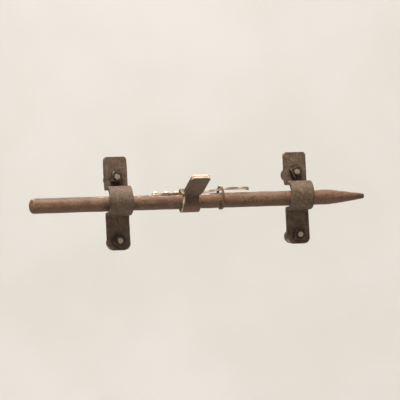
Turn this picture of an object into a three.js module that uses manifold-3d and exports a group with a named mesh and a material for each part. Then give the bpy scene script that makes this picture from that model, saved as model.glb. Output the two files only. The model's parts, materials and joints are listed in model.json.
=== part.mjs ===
// Toggle bolt latch for a plank door: a round slide bar runs in two saddle keepers that are bolted
// through the door. A spring leaf is riveted along the top of the bar, and a toggle handle swings on
// the bar between the leaf's rivets and its rise.
//
// Millimetres. +X runs along the bar towards its nose, +Z is up, and the door's face is the plane
// y = 0, with the latch on its -Y side. The origin lies on the door's face, midway between the
// keepers and level with the bar's axis.
import * as THREE from "three";
import { mergeVertices } from "three/addons/utils/BufferGeometryUtils.js";
import Module from "manifold-3d";

const wasm = await Module();
wasm.setup();

// ---- Driving dimensions ----
const BAR_RADIUS = 8; // 5/8 in round iron
const BAR_LENGTH = 358;
const BAR_TAIL = 93.5; // from the middle of the left keeper to the bar's blunt end
const BAR_END_ROUNDING = 5; // length of the blunt end's dome
const NOSE_LENGTH = 42;
const NOSE_TIP_RADIUS = 2.8;
const NOSE_BULGE = 1.25; // 1 is a straight cone, and more is a fuller nose

const KEEPER_SPACING = 193;
const KEEPER_WIDTH = 25; // 1 in strap
const KEEPER_STRAP = 4;
const KEEPER_UPPER_FLANGE = 31; // from the saddle to the top end
const KEEPER_LOWER_FLANGE = 35;
const KEEPER_TOP_CORNER = 2.5;
const KEEPER_BOTTOM_CORNER = 6;
const KEEPER_BEND = 3; // inside radius where the saddle meets a flange

const DOOR_THICKNESS = 25.4;
const BOLT_RADIUS = 3.175; // 1/4 in carriage bolt
const BOLT_HEAD_RADIUS = 7.2;
const BOLT_HEAD_HEIGHT = 3.8;
const BOLT_NECK_LENGTH = 4;
const BOLT_STICK_OUT = 2.2; // beyond the nut
const NUT_SIDE = 11;
const NUT_THICKNESS = 5.6;
const NUT_FROM_SADDLE = 1.5; // least gap from an upper nut's corner circle
const NUT_FROM_END = 1.7; // least gap from a lower nut's corner circle
const NUT_TURNS = { left_upper: 14, left_lower: 37, right_upper: -22, right_lower: 6 };

const LEAF_WIDTH = 8;
const LEAF_THICKNESS = 2.1;
const LEAF_MARGIN = 3.8; // from the first rivet to the leaf's riveted end
const LEAF_LENGTH = 104;
const LEAF_LIFT = 4.4; // how far the crest rises above the flat that the leaf is riveted to
const LEAF_RISE_LENGTH = 40.35;
const LEAF_TAIL = 5; // the turned-down end
const LEAF_TAIL_DROP = 1.4;
const FLAT_DEPTH = 1.6; // filed along the top of the bar, under the leaf
const RIVET_PITCHES = [11.8, 10.4]; // first to second, and second to third
const RIVET_SHANK_RADIUS = 1.6;
const RIVET_HEAD_RADIUS = 3.6;
const RIVET_HEAD_HEIGHT = 2.4;

const BAND_FROM_RISE = 23.65; // from the start of the leaf's rise to the band's middle
const BAND_WIDTH = 3.4;
const BAND_STRAP = 1.6;

const TOGGLE_CENTRE = -22.2;
const TOGGLE_STRAP = 3.2;
const EYE_WIDTH = 19;
const LEVER_LENGTH = 35; // beyond the eye
const LEVER_THICKNESS = 4.2;
const LEVER_WIDTH = 20;
const LEVER_WAIST = 15;
const LEVER_NECK = 9; // length over which the waist widens to the full lever
const LEVER_LEAN = 5; // degrees, towards the nose
const LEVER_CORNER = 2;
const TOGGLE_RAISED = 26; // degrees above level, away from the door

// ---- Fits ----
const SLIDE_CLEARANCE = 0.35; // round the bar, and between a moving piece and what it passes
const HOLE_CLEARANCE = 0.3; // round a shank
const SEAT_GAP = 0.2; // between two pieces that rest on each other
const DOOR_CLEARANCE = 0.4; // between the toggle's eye and the door

const ROUND_STEPS = 40;
const SMALL_ROUND_STEPS = 24;
const CUT_MARGIN = 5; // how far a cutting tool runs past the metal
const deg = THREE.MathUtils.degToRad;

// ---- Derived places ----
const leftKeeperX = -KEEPER_SPACING / 2;
const barStart = leftKeeperX - BAR_TAIL;
const barEnd = barStart + BAR_LENGTH;
const flatHeight = BAR_RADIUS - FLAT_DEPTH;
const leafSeat = flatHeight + SEAT_GAP;
const thirdRivet = TOGGLE_CENTRE - EYE_WIDTH / 2 - 2 * SLIDE_CLEARANCE - RIVET_HEAD_RADIUS;
const secondRivet = thirdRivet - RIVET_PITCHES[1];
const firstRivet = secondRivet - RIVET_PITCHES[0];
const rivets = [firstRivet, secondRivet, thirdRivet];
const leafStart = firstRivet - LEAF_MARGIN;
const leafEnd = leafStart + LEAF_LENGTH;
const leafRiseStart = TOGGLE_CENTRE + EYE_WIDTH / 2 + SLIDE_CLEARANCE;
const leafCrestStart = leafRiseStart + LEAF_RISE_LENGTH;
const bandCentre = leafRiseStart + BAND_FROM_RISE;
const leafCrestTop = leafSeat + LEAF_LIFT + LEAF_THICKNESS;

/** Height of the leaf's underside at x: flat, a quarter-wave rise, a level crest, a turned-down end. */
function leafUnderside(x) {
  if (x <= leafRiseStart) return leafSeat;
  if (x <= leafCrestStart) {
    const share = (x - leafRiseStart) / LEAF_RISE_LENGTH;
    return leafSeat + LEAF_LIFT * Math.sin((share * Math.PI) / 2);
  }
  const tail = Math.max(0, (x - (leafEnd - LEAF_TAIL)) / LEAF_TAIL);
  return leafSeat + LEAF_LIFT - LEAF_TAIL_DROP * tail * tail;
}

/** The smallest circle that clears the bar below and a flat strip of the given half width above. */
function ringAround(below, above, halfWidth) {
  const height = below + above;
  const radius = (height * height + halfWidth * halfWidth) / (2 * height);
  return { radius, up: radius - below };
}

const barClear = BAR_RADIUS + SLIDE_CLEARANCE;
const eye = ringAround(barClear, leafSeat + LEAF_THICKNESS + SLIDE_CLEARANCE, LEAF_WIDTH / 2);
const arch = ringAround(barClear, leafCrestTop + SLIDE_CLEARANCE, LEAF_WIDTH / 2);
const bandRight = bandCentre + BAND_WIDTH / 2;
const band = ringAround(
  barClear,
  leafUnderside(bandRight) + LEAF_THICKNESS + SLIDE_CLEARANCE,
  LEAF_WIDTH / 2,
);
const widestRing = Math.max(eye.radius + TOGGLE_STRAP, band.radius + BAND_STRAP);
const standOff = widestRing + DOOR_CLEARANCE; // from the door's face to the bar's axis
const saddleOuter = arch.radius + KEEPER_STRAP;
const saddleTop = arch.up + saddleOuter;
const saddleBottom = arch.up - saddleOuter;
const keeperTop = saddleTop + KEEPER_UPPER_FLANGE;
const keeperBottom = saddleBottom - KEEPER_LOWER_FLANGE;
const nutCorner = NUT_SIDE / Math.SQRT2;
const upperBoltZ = saddleTop + NUT_FROM_SADDLE + nutCorner;
const lowerBoltZ = keeperBottom + NUT_FROM_END + nutCorner;

// ---- Finishes ----
const FINISHES = {
  bar: { color: 0x7a5c48, roughness: 0.72, metalness: 0.55 },
  keeper: { color: 0x574636, roughness: 0.8, metalness: 0.5 },
  fastener: { color: 0x3d2e24, roughness: 0.78, metalness: 0.5 },
  leaf: { color: 0xc9a98a, roughness: 0.5, metalness: 0.7 },
  toggle: { color: 0x5c4633, roughness: 0.7, metalness: 0.55 },
};

// ---- Solids ----
function toSolid(geometry) {
  const bare = geometry.clone();
  bare.deleteAttribute("normal");
  bare.deleteAttribute("uv");
  const merged = mergeVertices(bare, 1e-4);
  return new wasm.Manifold(
    new wasm.Mesh({
      numProp: 3,
      vertProperties: new Float32Array(merged.attributes.position.array),
      triVerts: new Uint32Array(merged.index.array),
    }),
  );
}

function toGeometry(solid) {
  const mesh = solid.getMesh();
  const geometry = new THREE.BufferGeometry();
  geometry.setAttribute("position", new THREE.BufferAttribute(mesh.vertProperties, 3));
  geometry.setIndex(new THREE.BufferAttribute(mesh.triVerts, 1));
  geometry.computeVertexNormals();
  return geometry;
}

/** Extrudes an outline drawn as (distance out from the door, height) along X, centred on centreX. */
function extrudeAlongX(shape, width, centreX, curveSegments = 8) {
  const geometry = new THREE.ExtrudeGeometry(shape, { depth: width, bevelEnabled: false, curveSegments });
  const basis = new THREE.Matrix4().makeBasis(
    new THREE.Vector3(0, -1, 0),
    new THREE.Vector3(0, 0, 1),
    new THREE.Vector3(-1, 0, 0),
  );
  geometry.applyMatrix4(basis);
  geometry.translate(centreX + width / 2, 0, 0);
  return geometry;
}

/** Extrudes an outline drawn as (x, z) along Y, between two distances out from the door. */
function extrudeOutwards(shape, from, to, curveSegments = 6) {
  const depth = to - from;
  const geometry = new THREE.ExtrudeGeometry(shape, { depth, bevelEnabled: false, curveSegments });
  geometry.rotateX(Math.PI / 2);
  geometry.translate(0, -from, 0);
  return geometry;
}

/** Turns a profile of [radius, height] pairs about the Y axis. */
function turn(profile, steps) {
  return new THREE.LatheGeometry(profile.map(([r, h]) => new THREE.Vector2(r, h)), steps);
}

/** A cylinder along the named axis, centred on a point. */
function rod(radius, length, axis, x, y, z, steps = SMALL_ROUND_STEPS) {
  const geometry = new THREE.CylinderGeometry(radius, radius, length, steps);
  if (axis === "x") geometry.rotateZ(-Math.PI / 2);
  if (axis === "z") geometry.rotateX(Math.PI / 2);
  geometry.translate(x, y, z);
  return geometry;
}

/** A ring round the bar, drawn as (distance out, height). */
function ringShape(centreOut, up, inner, strap) {
  const shape = new THREE.Shape();
  shape.absarc(centreOut, up, inner + strap, 0, Math.PI * 2, false);
  const hole = new THREE.Path();
  hole.absarc(centreOut, up, inner, 0, Math.PI * 2, true);
  shape.holes.push(hole);
  return shape;
}

function addMesh(parent, name, geometry, finish) {
  const mesh = new THREE.Mesh(geometry, new THREE.MeshStandardMaterial(FINISHES[finish]));
  mesh.name = name;
  parent.add(mesh);
  return mesh;
}

// ---- Keepers ----
function saddleShape() {
  const crown = saddleOuter;
  const bend = KEEPER_BEND;
  const front = KEEPER_STRAP;
  const back = bend + KEEPER_STRAP / 3; // outside radius where the strap turns off the door
  const top = arch.up + arch.radius;
  const bottom = arch.up - arch.radius;
  const shape = new THREE.Shape();
  shape.moveTo(0, keeperBottom);
  shape.lineTo(front, keeperBottom);
  shape.lineTo(front, saddleBottom - bend);
  shape.absarc(front + bend, saddleBottom - bend, bend, Math.PI, Math.PI / 2, true);
  shape.lineTo(standOff, saddleBottom);
  shape.absarc(standOff, arch.up, crown, -Math.PI / 2, Math.PI / 2, false);
  shape.lineTo(front + bend, saddleTop);
  shape.absarc(front + bend, saddleTop + bend, bend, -Math.PI / 2, -Math.PI, true);
  shape.lineTo(front, keeperTop);
  shape.lineTo(0, keeperTop);
  shape.lineTo(0, top + back);
  shape.absarc(back, top + back, back, Math.PI, Math.PI * 1.5, false);
  shape.lineTo(standOff, top);
  shape.absarc(standOff, arch.up, arch.radius, Math.PI / 2, -Math.PI / 2, true);
  shape.lineTo(back, bottom);
  shape.absarc(back, bottom - back, back, Math.PI / 2, Math.PI, false);
  shape.closePath();
  return shape;
}

/** The strap seen from the front: square-cut at the top, rounded off at the bottom. */
function keeperFrontShape(centreX) {
  const left = centreX - KEEPER_WIDTH / 2;
  const right = centreX + KEEPER_WIDTH / 2;
  const round = KEEPER_BOTTOM_CORNER;
  const nip = KEEPER_TOP_CORNER;
  const shape = new THREE.Shape();
  shape.moveTo(left + round, keeperBottom);
  shape.lineTo(right - round, keeperBottom);
  shape.absarc(right - round, keeperBottom + round, round, -Math.PI / 2, 0, false);
  shape.lineTo(right, keeperTop - nip);
  shape.absarc(right - nip, keeperTop - nip, nip, 0, Math.PI / 2, false);
  shape.lineTo(left + nip, keeperTop);
  shape.absarc(left + nip, keeperTop - nip, nip, Math.PI / 2, Math.PI, false);
  shape.lineTo(left, keeperBottom + round);
  shape.absarc(left + round, keeperBottom + round, round, Math.PI, Math.PI * 1.5, false);
  return shape;
}

function keeperGeometry(centreX) {
  const reach = standOff + saddleOuter + CUT_MARGIN;
  const strap = toSolid(extrudeAlongX(saddleShape(), KEEPER_WIDTH + CUT_MARGIN, centreX));
  const front = toSolid(extrudeOutwards(keeperFrontShape(centreX), -CUT_MARGIN, reach, 3));
  let solid = strap.intersect(front);
  for (const z of [upperBoltZ, lowerBoltZ]) {
    const length = 2 * (KEEPER_STRAP + CUT_MARGIN);
    solid = solid.subtract(toSolid(rod(BOLT_RADIUS + HOLE_CLEARANCE, length, "y", centreX, 0, z)));
  }
  return toGeometry(solid);
}

// ---- Carriage bolts and square nuts, about their own axis with the door's back at height 0 ----
function boltGeometry() {
  const tip = DOOR_THICKNESS + KEEPER_STRAP + SEAT_GAP + NUT_THICKNESS + BOLT_STICK_OUT;
  const chamfer = BOLT_RADIUS / 4;
  const profile = [];
  const domeSteps = 5;
  for (let i = 0; i <= domeSteps; i++) {
    const a = (i / domeSteps) * (Math.PI / 2);
    profile.push([BOLT_HEAD_RADIUS * Math.sin(a), -BOLT_HEAD_HEIGHT * Math.cos(a)]);
  }
  profile.push([BOLT_RADIUS, 0]);
  profile.push([BOLT_RADIUS, tip - chamfer]);
  profile.push([BOLT_RADIUS - chamfer, tip]);
  profile.push([0, tip]);
  const side = BOLT_RADIUS * 2;
  const neck = new THREE.BoxGeometry(side, BOLT_NECK_LENGTH, side);
  neck.translate(0, BOLT_NECK_LENGTH / 2 - BOLT_HEAD_HEIGHT / 8, 0);
  return toGeometry(toSolid(turn(profile, SMALL_ROUND_STEPS)).add(toSolid(neck)));
}

function nutGeometry() {
  const half = NUT_SIDE / 2;
  const shape = new THREE.Shape();
  shape.moveTo(-half, -half);
  shape.lineTo(half, -half);
  shape.lineTo(half, half);
  shape.lineTo(-half, half);
  const hole = new THREE.Path();
  hole.absarc(0, 0, BOLT_RADIUS + HOLE_CLEARANCE, 0, Math.PI * 2, true);
  shape.holes.push(hole);
  const block = extrudeOutwards(shape, 0, NUT_THICKNESS, SMALL_ROUND_STEPS / 2);
  const chamferHeight = NUT_THICKNESS * 0.3;
  const crown = turn(
    [
      [0, -1],
      [nutCorner + 1, -1],
      [nutCorner + 1, NUT_THICKNESS - chamferHeight],
      [half, NUT_THICKNESS],
      [0, NUT_THICKNESS],
    ],
    ROUND_STEPS,
  );
  crown.rotateX(Math.PI);
  return toGeometry(toSolid(block).intersect(toSolid(crown)));
}

function addFasteners(parent, side, centreX) {
  for (const [level, z] of Object.entries({ upper: upperBoltZ, lower: lowerBoltZ })) {
    const place = `${side}_${level}`;
    const bolt = addMesh(parent, `bolt_${place}`, boltGeometry(), "fastener");
    bolt.position.set(centreX, DOOR_THICKNESS, z);
    bolt.rotation.x = Math.PI;
    const nut = addMesh(parent, `nut_${place}`, nutGeometry(), "fastener");
    nut.position.set(centreX, -KEEPER_STRAP - SEAT_GAP, z);
    nut.rotation.y = deg(NUT_TURNS[place]);
  }
}

// ---- Slide bar ----
function barGeometry() {
  const profile = [];
  const domeSteps = 6;
  for (let i = 0; i <= domeSteps; i++) {
    const a = (i / domeSteps) * (Math.PI / 2);
    profile.push([BAR_RADIUS * Math.sin(a), barStart + BAR_END_ROUNDING * (1 - Math.cos(a))]);
  }
  const noseSteps = 8;
  const tipRounding = NOSE_TIP_RADIUS / 2;
  const taperLength = NOSE_LENGTH - tipRounding;
  for (let i = 0; i <= noseSteps; i++) {
    const t = i / noseSteps;
    const radius = NOSE_TIP_RADIUS + (BAR_RADIUS - NOSE_TIP_RADIUS) * (1 - t ** NOSE_BULGE);
    profile.push([radius, barEnd - NOSE_LENGTH + taperLength * t]);
  }
  const tipSteps = 4;
  for (let i = 1; i <= tipSteps; i++) {
    const a = (i / tipSteps) * (Math.PI / 2);
    profile.push([NOSE_TIP_RADIUS * Math.cos(a), barEnd - tipRounding + tipRounding * Math.sin(a)]);
  }
  const round = turn(profile, ROUND_STEPS);
  round.rotateZ(-Math.PI / 2);
  round.translate(0, -standOff, 0);

  let flatEnd = leafRiseStart;
  while (leafUnderside(flatEnd) < BAR_RADIUS + SEAT_GAP) flatEnd += 0.5;
  const flatStart = leafStart - SLIDE_CLEARANCE;
  const cutHeight = FLAT_DEPTH + CUT_MARGIN;
  const flat = new THREE.BoxGeometry(flatEnd - flatStart, 3 * BAR_RADIUS, cutHeight);
  flat.translate((flatStart + flatEnd) / 2, -standOff, flatHeight + cutHeight / 2);
  let solid = toSolid(round).subtract(toSolid(flat));
  for (const x of rivets) {
    const radius = RIVET_SHANK_RADIUS + HOLE_CLEARANCE;
    solid = solid.subtract(toSolid(rod(radius, 4 * BAR_RADIUS, "z", x, -standOff, 0)));
  }
  return toGeometry(solid);
}

// ---- Spring leaf, its rivets and its band ----
function leafGeometry() {
  const steps = 26;
  const stations = [leafStart];
  for (let i = 0; i <= steps; i++) {
    stations.push(leafRiseStart + ((leafEnd - leafRiseStart) * i) / steps);
  }
  const shape = new THREE.Shape();
  shape.moveTo(stations[0], leafUnderside(stations[0]));
  for (const x of stations.slice(1)) shape.lineTo(x, leafUnderside(x));
  for (const x of stations.reverse()) shape.lineTo(x, leafUnderside(x) + LEAF_THICKNESS);
  shape.closePath();
  const from = standOff - LEAF_WIDTH / 2;
  let solid = toSolid(extrudeOutwards(shape, from, from + LEAF_WIDTH));
  for (const x of rivets) {
    const radius = RIVET_SHANK_RADIUS + HOLE_CLEARANCE;
    solid = solid.subtract(toSolid(rod(radius, 4 * BAR_RADIUS, "z", x, -standOff, 0)));
  }
  return toGeometry(solid);
}

/** A dome-headed rivet standing on the leaf, its shank right through the bar. */
function rivetGeometry() {
  const headSeat = leafSeat + LEAF_THICKNESS + SEAT_GAP;
  const foot = -Math.sqrt(BAR_RADIUS ** 2 - RIVET_SHANK_RADIUS ** 2);
  const profile = [
    [0, foot],
    [RIVET_SHANK_RADIUS, foot],
    [RIVET_SHANK_RADIUS, headSeat],
  ];
  const domeSteps = 5;
  for (let i = 0; i <= domeSteps; i++) {
    const a = (i / domeSteps) * (Math.PI / 2);
    profile.push([RIVET_HEAD_RADIUS * Math.cos(a), headSeat + RIVET_HEAD_HEIGHT * Math.sin(a)]);
  }
  profile[profile.length - 1][0] = 0;
  const geometry = turn(profile, SMALL_ROUND_STEPS);
  geometry.rotateX(Math.PI / 2);
  return geometry;
}

// ---- Toggle handle, about its own hinge: the lever stands off the eye along local +Y ----
function leverShape() {
  const lean = Math.tan(deg(LEVER_LEAN));
  const root = eye.radius + TOGGLE_STRAP / 2;
  const end = eye.radius + TOGGLE_STRAP + LEVER_LENGTH;
  const full = root + LEVER_NECK;
  const bend = root + LEVER_NECK / 2;
  const halfWaist = LEVER_WAIST / 2;
  const half = LEVER_WIDTH / 2;
  const r = LEVER_CORNER;
  const across = (y) => (y - root) * lean;
  const left = across(end) - half;
  const right = across(end) + half;
  const shape = new THREE.Shape();
  shape.moveTo(-halfWaist, root);
  shape.lineTo(halfWaist, root);
  shape.bezierCurveTo(halfWaist, bend, half + across(bend), bend, half + across(full), full);
  shape.lineTo(half + across(end - r), end - r);
  shape.quadraticCurveTo(right, end, right - r, end);
  shape.lineTo(left + r, end);
  shape.quadraticCurveTo(left, end, across(end - r) - half, end - r);
  shape.lineTo(across(full) - half, full);
  shape.bezierCurveTo(across(bend) - half, bend, -halfWaist, bend, -halfWaist, root);
  shape.closePath();
  return shape;
}

function toggleGeometry() {
  const ring = extrudeAlongX(ringShape(0, 0, eye.radius, TOGGLE_STRAP), EYE_WIDTH, 0, ROUND_STEPS / 2);
  const lever = new THREE.ExtrudeGeometry(leverShape(), {
    depth: LEVER_THICKNESS,
    bevelEnabled: false,
    curveSegments: 6,
  });
  lever.translate(0, 0, -LEVER_THICKNESS / 2);
  return toGeometry(toSolid(ring).add(toSolid(lever)));
}

// ---- Assembly ----
const group = new THREE.Group();

const frame = new THREE.Group();
for (const [side, centreX] of Object.entries({ left: leftKeeperX, right: -leftKeeperX })) {
  addMesh(frame, `keeper_${side}`, keeperGeometry(centreX), "keeper");
  addFasteners(frame, side, centreX);
}
group.add(frame);

const slide = new THREE.Group();
addMesh(slide, "slide_bar", barGeometry(), "bar");
addMesh(slide, "spring_leaf", leafGeometry(), "leaf");
rivets.forEach((x, i) => {
  const rivet = addMesh(slide, `leaf_rivet_${i + 1}`, rivetGeometry(), "leaf");
  rivet.position.set(x, -standOff, 0);
});
const bandShape = ringShape(standOff, band.up, band.radius, BAND_STRAP);
const bandBody = extrudeAlongX(bandShape, BAND_WIDTH, bandCentre, ROUND_STEPS / 2);
addMesh(slide, "leaf_band", bandBody, "toggle");
group.add(slide);

const toggle = new THREE.Group();
toggle.position.set(TOGGLE_CENTRE, -standOff, eye.up);
toggle.rotation.x = Math.PI - deg(TOGGLE_RAISED);
addMesh(toggle, "toggle_handle", toggleGeometry(), "toggle");
group.add(toggle);

export default group;
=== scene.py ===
"""Toggle bolt latch in old wrought iron: every visible piece, its finish, and a plain studio."""
import json
import logging
import math
from collections.abc import Callable
from dataclasses import dataclass
from enum import Enum

import bmesh
import bpy
from mathutils import Matrix, Vector, noise


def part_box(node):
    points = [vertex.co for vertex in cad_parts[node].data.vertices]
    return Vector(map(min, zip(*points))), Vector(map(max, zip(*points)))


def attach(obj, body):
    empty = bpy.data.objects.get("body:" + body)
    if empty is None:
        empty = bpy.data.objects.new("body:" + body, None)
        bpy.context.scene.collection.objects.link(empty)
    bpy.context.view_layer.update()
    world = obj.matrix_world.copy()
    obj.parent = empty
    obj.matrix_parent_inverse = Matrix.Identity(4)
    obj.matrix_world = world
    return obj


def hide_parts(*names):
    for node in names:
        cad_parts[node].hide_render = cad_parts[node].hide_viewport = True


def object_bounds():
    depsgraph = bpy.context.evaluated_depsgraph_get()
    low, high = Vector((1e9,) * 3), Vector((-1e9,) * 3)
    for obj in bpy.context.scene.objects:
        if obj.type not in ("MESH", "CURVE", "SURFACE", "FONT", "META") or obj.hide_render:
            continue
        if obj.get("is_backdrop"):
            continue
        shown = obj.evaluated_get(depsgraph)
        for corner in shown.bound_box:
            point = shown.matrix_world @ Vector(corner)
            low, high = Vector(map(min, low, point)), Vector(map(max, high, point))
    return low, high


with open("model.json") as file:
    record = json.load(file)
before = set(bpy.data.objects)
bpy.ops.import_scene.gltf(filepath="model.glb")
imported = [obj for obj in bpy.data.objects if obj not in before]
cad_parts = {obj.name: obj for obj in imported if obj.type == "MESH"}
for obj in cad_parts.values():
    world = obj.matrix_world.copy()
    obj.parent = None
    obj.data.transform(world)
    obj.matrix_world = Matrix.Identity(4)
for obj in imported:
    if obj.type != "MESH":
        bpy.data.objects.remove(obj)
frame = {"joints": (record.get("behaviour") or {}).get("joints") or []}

logging.basicConfig(level=logging.INFO, format="%(message)s")
LOG = logging.getLogger("latch")

MM = 0.001
CLEARANCE = 0.35 * MM  # round the bar, and between a moving piece and what it passes
EYE_WIDTH = 19 * MM  # of the toggle's eye, along the bar
LEVELS = ("upper", "lower")
NUT_TURNS = {"left_upper": 14, "left_lower": 37, "right_upper": -22, "right_lower": 6}  # degrees

# Names of the two values kept on each mesh point: wear together with painted highlights, and grime together
# with painted shade.
WEAR_AND_HIGHLIGHT = "wear_and_highlight"
GRIME_AND_SHADE = "grime_and_shade"
EDGE_SLOPE = 3.2  # how fast a bend in the surface turns into wear at outer edges and into darkening at inner corners
EDGE_FLOOR = 0.12  # the part of it that is too slight to count
SPREAD = 0.45  # share of a neighbour's edge wear and corner darkening that a point takes on
SPREAD_ROUNDS = 2

STREAK_WEAR = 0.34  # how much a fine streak adds to the wear
PIT_SHELTER = 0.45  # how much a pit takes off it
GRIME_AND_SHADE_COVER = 0.85  # how fully each of these hides what it lies on
PIT_COVER = 0.75
FRECKLE_COVER = 0.45

SHARP_ANGLE = math.radians(48)  # shaded as an edge
ROUNDED_ANGLE = math.radians(50)  # rounded off as an edge
BEVEL_STRIPS = 3
HOLE_SIDES = 40

ACROSS = Vector((1, 0, 0))  # along the bar, towards its nose
OUT = Vector((0, -1, 0))  # off the door
UP = Vector((0, 0, 1))

Colour = tuple[float, float, float, float]
Edges = list[bmesh.types.BMEdge]
Profile = list[tuple[float, float]]
Rule = Callable[[Vector, Vector], float]
Socket = bpy.types.NodeSocket


def colour(code: str) -> Colour:
    """Turns a six-digit screen colour into the linear colour that a shader takes.

    Args:
        code: Red, green and blue as two hexadecimal digits each.

    Returns:
        Linear red, green, blue and an alpha of 1.
    """
    channels = [int(code[i : i + 2], 16) / 255 for i in (0, 2, 4)]
    linear = [c / 12.92 if c <= 0.04045 else ((c + 0.055) / 1.055) ** 2.4 for c in channels]
    return (linear[0], linear[1], linear[2], 1.0)


def smoothstep(low: float, high: float, value: float) -> float:
    """Rises smoothly from 0 at low to 1 at high."""
    share = min(1.0, max(0.0, (value - low) / (high - low)))
    return share * share * (3 - 2 * share)


def quarter(steps: int) -> list[float]:
    """Angles from 0 to a right angle in equal steps."""
    return [i / steps * math.pi / 2 for i in range(steps + 1)]


def reach_near_end(half: float, corner: float, gap: float) -> float:
    """Half the width of a strap whose end has round corners.

    Args:
        half: Half the strap's full width.
        corner: Radius of the corners.
        gap: Distance to the end.

    Returns:
        Half the width at that distance.
    """
    if gap >= corner:
        return half
    return half - corner + math.sqrt(max(0.0, corner**2 - (corner - gap) ** 2))


def corners(node: str) -> tuple[Vector, Vector]:
    """The lowest and the highest corner of a CAD node's box."""
    low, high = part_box(node)
    return Vector(low), Vector(high)


def middle(node: str) -> Vector:
    """The middle of a CAD node's box."""
    low, high = corners(node)
    return (low + high) / 2


def middle_of_hinge() -> Vector:
    """The toggle hinge's point, from the frame's joints."""
    joint = next(j for j in frame["joints"] if j["name"] == "toggle_swing")
    return Vector(joint["pos_m"])


def show(name: str, data: bpy.types.ID) -> bpy.types.Object:
    """Puts a mesh, a lamp or a camera in the scene.

    Args:
        name: The object's name.
        data: What it shows.

    Returns:
        The object.
    """
    shown = bpy.data.objects.new(name, data)
    bpy.context.scene.collection.objects.link(shown)
    return shown


# ---------------------------------------------------------------- finishes


class NodeBench:
    """Builds one material's node tree, a node or a socket at a time."""

    def __init__(self, name: str) -> None:
        """Starts an empty material with a Principled shader.

        Args:
            name: The material's name.
        """
        self.material = bpy.data.materials.new(name)
        self.material.use_nodes = True
        self.tree = self.material.node_tree
        self.shader = self.tree.nodes["Principled BSDF"]
        self.place = self.node("ShaderNodeTexCoord").outputs["Object"]

    def node(self, kind: str, **settings: object) -> bpy.types.Node:
        """Adds a node and sets its properties.

        Args:
            kind: The node's type.
            settings: Each property and its value.

        Returns:
            The node.
        """
        made = self.tree.nodes.new(kind)
        for key, value in settings.items():
            setattr(made, key, value)
        return made

    def link(self, source: Socket, target: Socket) -> None:
        """Joins two sockets."""
        self.tree.links.new(source, target)

    def drawn_out(self, factor: float) -> Socket:
        """Object coordinates drawn out along the bar by a factor, and shifted off the plain ones.

        Args:
            factor: How far, where 1 is not at all.

        Returns:
            The vector socket.
        """
        mapping = self.node("ShaderNodeMapping")
        mapping.inputs["Location"].default_value = (0.37, 0.37, 0.37)
        mapping.inputs["Scale"].default_value = (1 / factor, 1.0, 1.0)
        self.link(self.place, mapping.inputs["Vector"])
        return mapping.outputs["Vector"]

    def noise(
        self,
        scale: float,
        detail: float,
        roughness: float = 0.6,
        where: Socket | None = None,
        twist: float = 0.0,
    ) -> Socket:
        """A noise pattern.

        Args:
            scale: Blotches per metre.
            detail: Octaves.
            roughness: Strength of each finer octave.
            where: Coordinates, or Object coordinates if left out.
            twist: How far the pattern is pulled about.

        Returns:
            The grey socket.
        """
        made = self.node("ShaderNodeTexNoise")
        made.inputs["Scale"].default_value = scale
        made.inputs["Detail"].default_value = detail
        made.inputs["Roughness"].default_value = roughness
        made.inputs["Distortion"].default_value = twist
        self.link(where or self.place, made.inputs["Vector"])
        return made.outputs["Fac"]

    def cells(self, scale: float) -> Socket:
        """Distance to the nearest of a scatter of points.

        Args:
            scale: Points per metre.

        Returns:
            The distance's socket.
        """
        made = self.node("ShaderNodeTexVoronoi")
        made.inputs["Scale"].default_value = scale
        self.link(self.place, made.inputs["Vector"])
        return made.outputs["Distance"]

    def attribute(self, name: str) -> Socket:
        """A value that is stored on the mesh."""
        return self.node("ShaderNodeAttribute", attribute_name=name).outputs["Fac"]

    def band(
        self, source: Socket, low: float, high: float, to: tuple[float, float] = (0.0, 1.0)
    ) -> Socket:
        """Spreads the part of a value between low and high over a new range, smoothly.

        Args:
            source: The value.
            low: Where the part begins.
            high: Where it ends, which may be below low to turn it round.
            to: The new range.

        Returns:
            The new value's socket.
        """
        made = self.node("ShaderNodeMapRange", interpolation_type="SMOOTHSTEP")
        made.inputs["From Min"].default_value = low
        made.inputs["From Max"].default_value = high
        made.inputs["To Min"].default_value = to[0]
        made.inputs["To Max"].default_value = to[1]
        self.link(source, made.inputs["Value"])
        return made.outputs["Result"]

    def maths(self, operation: str, a: Socket, b: Socket | float) -> Socket:
        """Joins two values by one operation, kept between 0 and 1.

        Args:
            operation: The Math node's operation.
            a: The first value.
            b: The second value.

        Returns:
            The result's socket.
        """
        made = self.node("ShaderNodeMath", operation=operation, use_clamp=True)
        self.link(a, made.inputs[0])
        if isinstance(b, float):
            made.inputs[1].default_value = b
        else:
            self.link(b, made.inputs[1])
        return made.outputs[0]

    def times(self, a: Socket, b: Socket | float) -> Socket:
        """The product of two values."""
        return self.maths("MULTIPLY", a, b)

    def blend(self, share: Socket, under: Socket | Colour, over: Socket | Colour) -> Socket:
        """Lays one colour over another by a mask.

        Args:
            share: The mask, 0 to 1.
            under: The colour where it is 0.
            over: The colour where it is 1.

        Returns:
            The colour socket.
        """
        made = self.node("ShaderNodeMix", data_type="RGBA")
        self.link(share, made.inputs["Factor"])
        for socket, value in ((made.inputs[6], under), (made.inputs[7], over)):
            if isinstance(value, tuple):
                socket.default_value = value
            else:
                self.link(value, socket)
        return made.outputs[2]

    def bump(
        self, height: Socket, depth: float, strength: float, below: Socket | None = None
    ) -> Socket:
        """Raises or sinks the surface by a height pattern, on top of another bump if one is given.

        Args:
            height: The pattern.
            depth: Its full height in metres.
            strength: Share of it that counts.
            below: The other bump.

        Returns:
            The normal socket.
        """
        made = self.node("ShaderNodeBump")
        made.inputs["Distance"].default_value = depth
        made.inputs["Strength"].default_value = strength
        self.link(height, made.inputs["Height"])
        if below is not None:
            self.link(below, made.inputs["Normal"])
        return made.outputs["Normal"]


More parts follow.
